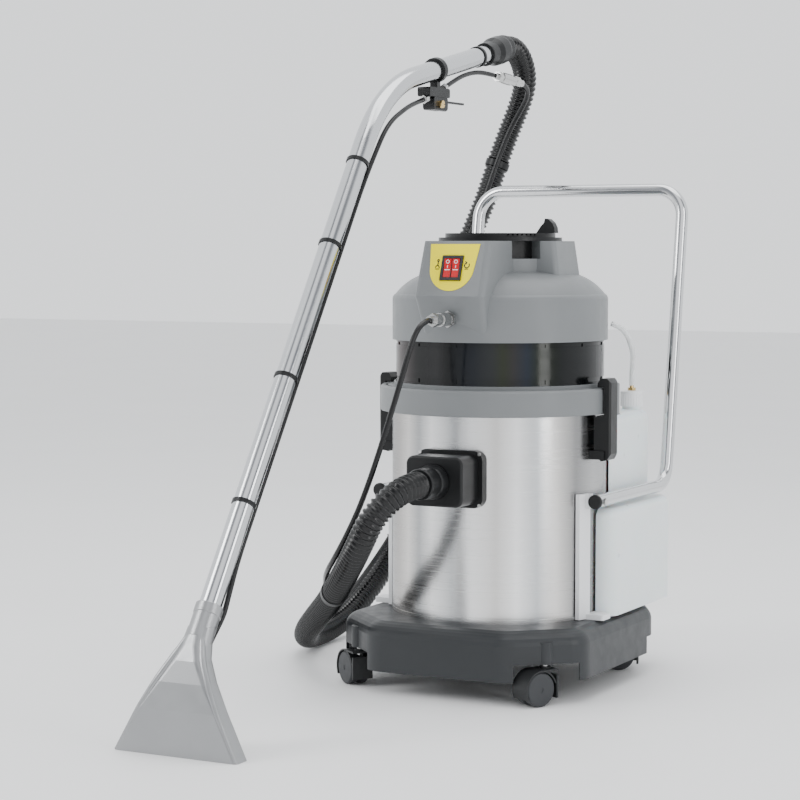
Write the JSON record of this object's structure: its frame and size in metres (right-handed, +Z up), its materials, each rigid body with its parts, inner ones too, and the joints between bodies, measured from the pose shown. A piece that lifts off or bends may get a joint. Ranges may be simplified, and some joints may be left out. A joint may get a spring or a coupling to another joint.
{
  "type": "carpet cleaner",
  "caption": "Spray extraction carpet cleaner: steel drum and lift-off motor head on a caster trolley, rear solution tank, push handle, ribbed hose and angled wand with flared floor nozzle.",
  "frame": {"origin": "on the floor, at the middle of the footprint of the machine and its wand, hoses left out", "axes": "+Z up, +Y from the nozzle and drum inlet towards the solution tank and push handle, +X to the right of someone facing the inlet from the front"},
  "size_m": [0.6576, 1.2254, 1.1085],
  "materials": {
    "base_plastic": "moulded dark grey plastic, fine grain",
    "drum_steel": "polished stainless steel with soft reflections",
    "grey_plastic": "moulded mid grey plastic, satin",
    "black_plastic": "moulded black plastic",
    "gloss_black": "glossy black plastic",
    "tank_plastic": "translucent white blow moulded polyethylene",
    "white_cap": "white moulded plastic",
    "brass": "turned brass",
    "chrome_tube": "chromed steel tube",
    "wand_steel": "polished steel tube",
    "nozzle_alloy": "satin cast aluminium",
    "nickel": "nickel plated brass",
    "zinc_steel": "zinc plated steel",
    "motor_metal": "motor casing",
    "label_yellow": "yellow panel",
    "rocker_red": "red translucent plastic",
    "caster_plastic": "moulded dark plastic",
    "wheel_plastic": "dark grey wheel",
    "hose_plastic": "ribbed black plastic hose",
    "hose_rubber": "black rubber hose",
    "clear_tube": "clear soft tube"
  },
  "bodies": {
    "root": {"trolley_base": "base_plastic", "caster_stems": "zinc_steel", "drum": "drum_steel", "drum_band": "drum_steel", "drum_collar": "grey_plastic", "inlet_housing": "black_plastic", "inlet_screws": "zinc_steel", "latch_brackets": "black_plastic", "solution_tank": "tank_plastic", "tank_nipple": "brass", "tank_brackets": "white_cap", "push_handle": "chrome_tube", "handle_end_caps": "black_plastic", "handle_bolts": "zinc_steel", "vacuum_hose": "hose_plastic", "solution_hose": "hose_rubber", "suction_tube": "clear_tube", "whip_tube": "hose_rubber", "hose_coupler": "nickel", "hose_straps": "black_plastic"},
    "inlet_cuff": {"hose_cuff": "black_plastic"},
    "filler_cap": {"tank_cap": "white_cap"},
    "left_latch": {"latch_left": "black_plastic"},
    "right_latch": {"latch_right": "black_plastic"},
    "head": {"head_cover": "grey_plastic", "head_band": "gloss_black", "head_base": "grey_plastic", "vacuum_motor": "motor_metal", "solution_pump": "black_plastic", "float_cage": "black_plastic", "top_cap": "black_plastic", "cord_hook": "black_plastic", "label_panel": "label_yellow", "switch_bezel": "black_plastic", "outlet_fitting": "nickel", "mains_gland": "black_plastic"},
    "fan": {"motor_fan": "motor_metal"},
    "float": {"float_ball": "white_cap"},
    "left_rocker": {"rocker_left": "rocker_red"},
    "right_rocker": {"rocker_right": "rocker_red"},
    "wand": {"wand_tube": "wand_steel", "wand_collar": "nozzle_alloy", "floor_nozzle": "nozzle_alloy", "spray_jet": "brass", "wand_cuff": "black_plastic", "valve_clamp": "black_plastic", "valve_body": "black_plastic", "valve_screw": "brass", "line_fittings": "nickel", "wand_straps": "black_plastic", "wand_line": "hose_rubber"},
    "trigger": {"trigger_lever": "black_plastic"},
    "swivel_front_right": {"caster_hood_front_right": "caster_plastic"},
    "wheels_front_right": {"caster_wheels_front_right": "wheel_plastic"},
    "swivel_front_left": {"caster_hood_front_left": "caster_plastic"},
    "wheels_front_left": {"caster_wheels_front_left": "wheel_plastic"},
    "swivel_rear_right": {"caster_hood_rear_right": "caster_plastic"},
    "wheels_rear_right": {"caster_wheels_rear_right": "wheel_plastic"},
    "swivel_rear_left": {"caster_hood_rear_left": "caster_plastic"},
    "wheels_rear_left": {"caster_wheels_rear_left": "wheel_plastic"}
  },
  "joints": [
    {"name": "head_lift", "type": "slide", "parent": "root", "child": "head", "axis": [0, 0, 1], "range_m": [0, 0.25]},
    {"name": "wand_swing", "type": "hinge", "parent": "root", "child": "wand", "pos_m": [-0.1322, 0.5335, 1.0828], "axis": [1, 0, 0], "range_deg": [-5, 0]},
    {"name": "trigger_squeeze", "type": "hinge", "parent": "wand", "child": "trigger", "pos_m": [-0.1322, 0.2745, 0.963], "axis": [1, 0, 0], "range_deg": [0, 10], "stiffness_Nm_per_rad": 0.1, "springref_deg": -5.73},
    {"name": "right_latch_hinge", "type": "hinge", "parent": "root", "child": "right_latch", "pos_m": [0.2168, 0.1935, 0.385], "axis": [0, 1, 0], "range_deg": [0, 70]},
    {"name": "left_latch_hinge", "type": "hinge", "parent": "root", "child": "left_latch", "pos_m": [-0.1812, 0.1935, 0.385], "axis": [0, 1, 0], "range_deg": [-70, 0]},
    {"name": "left_rocker_tilt", "type": "hinge", "parent": "head", "child": "left_rocker", "pos_m": [0.0178, 0.028, 0.689], "axis": [1, 0, 0], "range_deg": [-10, 0]},
    {"name": "right_rocker_tilt", "type": "hinge", "parent": "head", "child": "right_rocker", "pos_m": [0.0178, 0.028, 0.689], "axis": [1, 0, 0], "range_deg": [-10, 0]},
    {"name": "fan_spin", "type": "hinge", "parent": "head", "child": "fan", "pos_m": [0.0178, 0.2085, 0.565], "axis": [0, 0, 1], "continuous": true},
    {"name": "float_rise", "type": "slide", "parent": "head", "child": "float", "axis": [0, 0, 1], "range_m": [0, 0.03]},
    {"name": "cap_turn", "type": "hinge", "parent": "root", "child": "filler_cap", "pos_m": [0.1658, 0.4305, 0.46], "axis": [0, 0, 1], "continuous": true},
    {"name": "cuff_swivel", "type": "hinge", "parent": "root", "child": "inlet_cuff", "pos_m": [0.0178, -0.0615, 0.352], "axis": [0, 1, 0], "continuous": true},
    {"name": "swivel_turn_front_right", "type": "hinge", "parent": "root", "child": "swivel_front_right", "pos_m": [0.1838, 0.0265, 0.055], "axis": [0, 0, 1], "continuous": true},
    {"name": "wheel_spin_front_right", "type": "hinge", "parent": "swivel_front_right", "child": "wheels_front_right", "pos_m": [0.17459, 0.00762, 0.0275], "axis": [0.8988, -0.4384, 0], "continuous": true},
    {"name": "swivel_turn_front_left", "type": "hinge", "parent": "root", "child": "swivel_front_left", "pos_m": [-0.1502, 0.0245, 0.055], "axis": [0, 0, 1], "continuous": true},
    {"name": "wheel_spin_front_left", "type": "hinge", "parent": "swivel_front_left", "child": "wheels_front_left", "pos_m": [-0.16719, 0.03684, 0.0275], "axis": [-0.5878, -0.809, 0], "continuous": true},
    {"name": "swivel_turn_rear_right", "type": "hinge", "parent": "root", "child": "swivel_rear_right", "pos_m": [0.1938, 0.3665, 0.055], "axis": [0, 0, 1], "continuous": true},
    {"name": "wheel_spin_rear_right", "type": "hinge", "parent": "swivel_rear_right", "child": "wheels_rear_right", "pos_m": [0.17407, 0.35932, 0.0275], "axis": [0.342, -0.9397, 0], "continuous": true},
    {"name": "swivel_turn_rear_left", "type": "hinge", "parent": "root", "child": "swivel_rear_left", "pos_m": [-0.1582, 0.3665, 0.055], "axis": [0, 0, 1], "continuous": true},
    {"name": "wheel_spin_rear_left", "type": "hinge", "parent": "swivel_rear_left", "child": "wheels_rear_left", "pos_m": [-0.14001, 0.377, 0.0275], "axis": [-0.5, 0.866, 0], "continuous": true}
  ]
}
